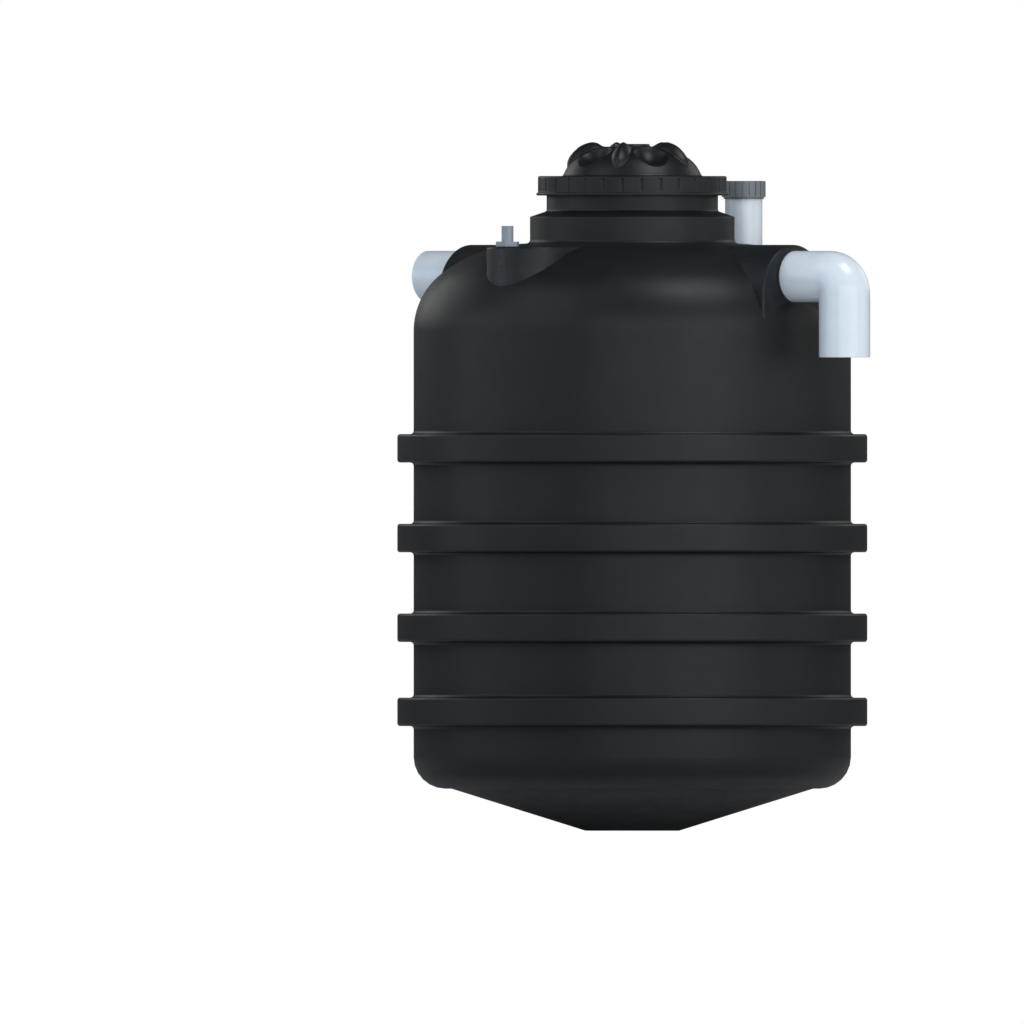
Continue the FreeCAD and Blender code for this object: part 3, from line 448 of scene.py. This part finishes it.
def before_bend(back):
    """Ring of the level run a little before the bend."""
    def ring(t, r, shift):
        q = min(0.0, BEND + r * math.cos(t))
        return (BEND_X + q - back, r * math.sin(t), PIPE_AXIS + r * math.cos(t))
    return ring


def leg(z, follow=False):
    """Ring of the drop leg at z; a shift moves it along Z, the other way up."""
    def ring(t, r, shift):
        q = min(0.0, BEND + r * math.cos(t)) if follow else 0.0
        return (BEND_X + BEND + r * math.cos(t), r * math.sin(t), z + q - shift)
    return ring


stations = [level(PIPE_INSIDE), level(PIPE_INSIDE + 1.2), before_bend(2)] + [bend(a) for a in range(0, 91, 5)]
stations += [leg(BEND_Z - 2, True), leg(LEG_END + 1.2), leg(LEG_END)]
drain = to_object(ring_walk(PIPE, BORE, stations, steps=96), "outlet_drain")
finish_piece(drain, "tank", WHITE, "white_pvc", "outlet_pipe", "outlet_elbow", "outlet_leg")

stations = [level(-INLET_END), level(-483), level(-PIPE_INSIDE)]
stub = to_object(ring_walk(PIPE, BORE, stations, steps=96), "inlet_stub")
finish_piece(stub, "tank", WHITE, "white_pvc", "inlet_pipe")

stations = [upright(0, RISER_Y, z) for z in (RISER_FOOT, 1300, RISER_TOP)]
riser = to_object(ring_walk(RISER, RISER_BORE, stations, edge=0.8), "riser_pipe")
finish_piece(riser, "tank", WHITE, "white_pvc", "cleanout_riser")


# Lid
def spline(points):
    """Smooth curve through points (place, value)."""
    slopes = []
    for i in range(len(points)):
        a, b = points[max(0, i - 1)], points[min(len(points) - 1, i + 1)]
        slopes.append((b[1] - a[1]) / (b[0] - a[0]))

    def at(place):
        if place <= points[0][0]:
            return points[0][1]
        for i in range(len(points) - 1):
            (x0, y0), (x1, y1) = points[i], points[i + 1]
            if place <= x1:
                t, step = (place - x0) / (x1 - x0), x1 - x0
                return (y0 * (1 + 2 * t) * (1 - t) ** 2 + slopes[i] * step * t * (1 - t) ** 2
                        + y1 * t * t * (3 - 2 * t) + slopes[i + 1] * step * t * t * (t - 1))
        return points[-1][1]
    return at


# Crown from its foot on the ring up to the flat table, and the fins' height over it by radius
PLATE_TOP, TABLE_TOP, CROWN_WALL = 1401.3, 1464.2, 5
FIN_TURN, DIMPLE_TURN, PETAL = 9, 45, 72
CROWN_LINE = [(151.5, 1401.35), (149.3, 1402.2), (147.4, 1404.6), (144.8, 1410), (139.8, 1419), (133.6, 1428),
              (126.5, 1436.2), (118, 1443.2), (108, 1448.8), (96, 1454.0), (84, 1458.4), (72, 1462.2), (64, TABLE_TOP)]
fin_height = spline([(60, 0), (64, 1.5), (68, 5.5), (72, 9.8), (78, 13.8), (84, 15.9), (92, 16.8), (100, 16.9),
                     (108, 15.9), (117, 13.3), (123, 11.5), (129, 9.6), (134, 6.8), (137.5, 3.2), (140, 0)])
# The table's radii with the button's rise over it
TABLE = ((60, 0), (50, 0), (40, 0), (38.6, 0.6), (37.6, 2.2), (37.1, 4.2), (36.4, 5.3), (35, 5.8), (24, 5.8), (12, 5.8),
         (0, 5.8))
crown_across = spline([(i, p[0]) for i, p in enumerate(CROWN_LINE)])
crown_up = spline([(i, p[1]) for i, p in enumerate(CROWN_LINE)])


def away_from(turn, first):
    """Angle in radians from the nearest of the five petals' places, the first of them at a turn in degrees."""
    return math.radians((turn - first + PETAL / 2) % PETAL - PETAL / 2)


def lid_relief(radius, turn):
    """Height of the fins less depth of the dimples at a radius and a turn in degrees."""
    # A fin is a leaf in plan, widest at radius 109, with a soft ridge
    beside = abs(away_from(turn, FIN_TURN) * radius)
    along = (radius - 109) / (31 if radius > 109 else 52)
    width = 18.6 * max(0.0, 1 - abs(along) ** 2.4) ** 0.5
    height = fin_height(radius) * (1 - (beside / width) ** 1.45) ** 0.85 if beside < width else 0.0
    # A dimple is an oval bowl
    aside = away_from(turn, DIMPLE_TURN) * (72 + radius * 0.32)
    reach = (radius - 105) ** 2 / 33 ** 2 + aside ** 2 / 38 ** 2
    depth = 25.0 * (1 - reach) ** 0.8 if reach < 1 else 0.0
    return height - depth


def lid_crown_rows(segments, count, inside):
    """Rings of the lid's crown from its foot up to the middle, or of its underside, which has no fins."""
    span = len(CROWN_LINE) - 1
    rows = []
    for i in range(count + 1):
        place = span * i / count
        x, z = crown_across(place), crown_up(place)
        before, after = max(0, place - 0.05), min(span, place + 0.05)
        step = (crown_across(after) - crown_across(before), crown_up(after) - crown_up(before))
        size = math.hypot(*step)
        out, up = step[1] / size, -step[0] / size
        row = []
        for k in range(segments):
            rise = lid_relief(x, 360 * k / segments)
            if inside:
                rise = min(0.0, rise) - CROWN_WALL
            row.append((*circle_point(x + out * rise, k, segments), z + up * rise))
        rows.append(row)
    for radius, rise in TABLE:
        level = TABLE_TOP - CROWN_WALL - 0.2 if inside else TABLE_TOP + rise
        rows.append([(*circle_point(radius, k, segments), level) for k in range(segments)])
    return rows


outside = lid_crown_rows(640, 92, inside=False)
underside = lid_crown_rows(640, 16, inside=True)
crown = to_object(grid(underside[::-1] + outside), "lid_crown")
finish_piece(crown, "lid", BLACK_LID, "black_polyethylene", "lid_dome", angle=85)


GRIPS, GRIP_TURN, GRIP_DEPTH = 30, 3.8, 2.2


def lid_ring_rows():
    """Rings of the screw ring: plate, rounded top edge, grip pads between grooves, flange and skirt.

    Each corner of the section is (radius, level, share of the grooves' depth).
    """
    section = [(141.3, PLATE_TOP, 0), (196, PLATE_TOP, 0)]
    section += [(x, z, 0) for x, z in arc((198, 1397.3, 4), 80, 10, 5)]
    section += [(202, 1396.4, 0), (202, 1395.2, 0.25), (202, 1394.2, 0.8), (202, 1393.2, 1), (202, 1380, 1),
                (202, 1370.4, 1), (202, 1369.4, 0.8), (202, 1368.4, 0.25), (202, 1367.2, 0), (202.2, 1366.1, 0),
                (203, 1365.4, 0), (204.4, 1365.2, 0), (205.2, 1364.3, 0), (205.4, 1362.3, 0), (205.1, 1360.3, 0),
                (204.2, 1359.4, 0), (194, 1359.3, 0), (193, 1360.3, 0), (193, 1393.3, 0), (192, 1394.3, 0),
                (141.3, 1394.3, 0)]
    # Places across one pad and its groove, in degrees from the groove's middle, and the groove's depth there
    offsets = [-6, -4.4, -2.6, -0.95, -0.72, -0.5, -0.25, 0.25, 0.5, 0.72, 0.95, 2.6, 4.4]
    depths = {0.72: 0.35, 0.5: 0.9, 0.25: 1}
    rows = []
    for radius, level, share in section:
        row = []
        for turn in range(0, 360, 360 // GRIPS):
            for offset in offsets:
                angle = math.radians(GRIP_TURN + turn + offset)
                out = radius - GRIP_DEPTH * share * depths.get(abs(offset), 0)
                row.append((out * math.cos(angle), out * math.sin(angle), level))
        rows.append(row)
    return rows


ring = to_object(grid(lid_ring_rows(), wrap_rows=True), "lid_screw_ring")
finish_piece(ring, "lid", BLACK, "black_polyethylene", "lid_ring", angle=50)


# CAD pieces that stay
LOOK = {"black_polyethylene": BLACK, "white_pvc": WHITE, "grey_cap": GREY_CAP, "grey_fitting": GREY_FITTING,
        "seal_rubber": RUBBER}
for part in frame["record"]["subparts"]:
    node = NODES[part["node"]]
    if not node.material_slots:
        node.data.materials.append(None)
    for place in node.material_slots:
        place.link = "OBJECT"
        place.material = LOOK[part["material_slot"]]

# Stage, light and camera
scene = bpy.context.scene
scene.view_settings.view_transform = "Standard"
# The photograph's view is level, from 40 degrees right of the front: its right hand, and towards the viewer
across, towards = Vector((0.7660, 0.6428, 0)), Vector((0.6428, -0.7660, 0))

floor_bm = bmesh.new()
bmesh.ops.create_grid(floor_bm, x_segments=2, y_segments=2, size=9)
floor = to_object(floor_bm, "floor")
floor.location.z = -0.0005
# The camera sees a pale floor that fades to white, and the light bounces off a duller one
pale = Nodes("floor_pale")
pale.shader.inputs["Base Color"].default_value = (0.62, 0.62, 0.62, 1)
ray = pale.add("ShaderNodeLightPath")
bright = pale.add("ShaderNodeBsdfDiffuse", Color=(0.97, 0.97, 0.97, 1))
backdrop = pale.add("ShaderNodeEmission", Color=(1, 1, 1, 1), Strength=1.0)
length = pale.add("ShaderNodeVectorMath", operation="LENGTH")
pale.link(pale.place, length.inputs[0])
fade, look = pale.add("ShaderNodeMixShader"), pale.add("ShaderNodeMixShader")
pale.link(pale.span(length.outputs["Value"], 1.0, 3.0, 0.0, 1.0), fade.inputs[0])
pale.link(bright.outputs[0], fade.inputs[1])
pale.link(backdrop.outputs[0], fade.inputs[2])
pale.link(ray.outputs["Is Camera Ray"], look.inputs[0])
pale.link(pale.shader.outputs[0], look.inputs[1])
pale.link(fade.outputs[0], look.inputs[2])
pale.link(look.outputs[0], pale.tree.nodes["Material Output"].inputs[0])
floor.data.materials.append(pale.material)

# White for the camera, and a dim fill for everything else
world = bpy.data.worlds.new("studio")
scene.world = world
world.use_nodes = True
tree = world.node_tree
tree.nodes.clear()
seen = tree.nodes.new("ShaderNodeBackground")
seen.inputs["Color"].default_value = (1, 1, 1, 1)
lit = tree.nodes.new("ShaderNodeBackground")
lit.inputs["Color"].default_value = (0.055, 0.058, 0.062, 1)
path = tree.nodes.new("ShaderNodeLightPath")
choose = tree.nodes.new("ShaderNodeMixShader")
end = tree.nodes.new("ShaderNodeOutputWorld")
tree.links.new(path.outputs["Is Camera Ray"], choose.inputs[0])
tree.links.new(lit.outputs[0], choose.inputs[1])
tree.links.new(seen.outputs[0], choose.inputs[2])
tree.links.new(choose.outputs[0], end.inputs["Surface"])


def softbox(name, right, front, level, width, height, energy, colour):
    """Area light aimed at the vessel's middle, from so far right, towards the viewer and over the floor in metres."""
    light = bpy.data.lights.new(name, "AREA")
    light.shape, light.size, light.size_y = "RECTANGLE", width, height
    light.energy, light.color = energy, colour
    obj = bpy.data.objects.new(name, light)
    obj.visible_camera = False
    scene.collection.objects.link(obj)
    obj.location = across * right + towards * front + Vector((0, 0, level))
    obj.rotation_euler = (Vector((0, 0, 0.7)) - obj.location).to_track_quat("-Z", "Y").to_euler()


softbox("front", 0, 6.5, 1.9, 5.2, 2.9, 103, (0.86, 0.94, 1.0))
softbox("front_left", -4.2, 3.7, 1.8, 3.0, 2.5, 30, (0.80, 0.91, 1.0))
softbox("front_right", 3.6, 4.2, 1.7, 3.8, 2.5, 92, (0.89, 0.955, 1.0))
softbox("key_high", 1.25, 1.15, 3.75, 1.4, 1.4, 39, (0.97, 0.985, 1.0))
softbox("left", -5.4, 0.5, 1.7, 3.8, 2.5, 48, (0.80, 0.91, 1.0))
softbox("left_high", -2.1, 1.4, 3.1, 2.2, 2.2, 22, (0.80, 0.91, 1.0))
softbox("right", 5.4, 0.5, 1.7, 3.8, 2.5, 35, (1.0, 0.985, 0.96))
softbox("back_left", -3.3, -3.3, 2.6, 3.0, 2.4, 33, (1.0, 0.99, 0.97))
softbox("back_right", 3.3, -3.3, 2.6, 3.0, 2.4, 24, (1.0, 0.99, 0.97))

camera_data = bpy.data.cameras.new("camera")
camera_data.type = "ORTHO"
camera_data.ortho_scale = 2.1914
camera = bpy.data.objects.new("camera", camera_data)
scene.collection.objects.link(camera)
camera.location = Vector((-0.1972, -0.1655, 0.6822)) + towards * 6
camera.rotation_euler = (-towards).to_track_quat("-Z", "Y").to_euler()
scene.camera = camera
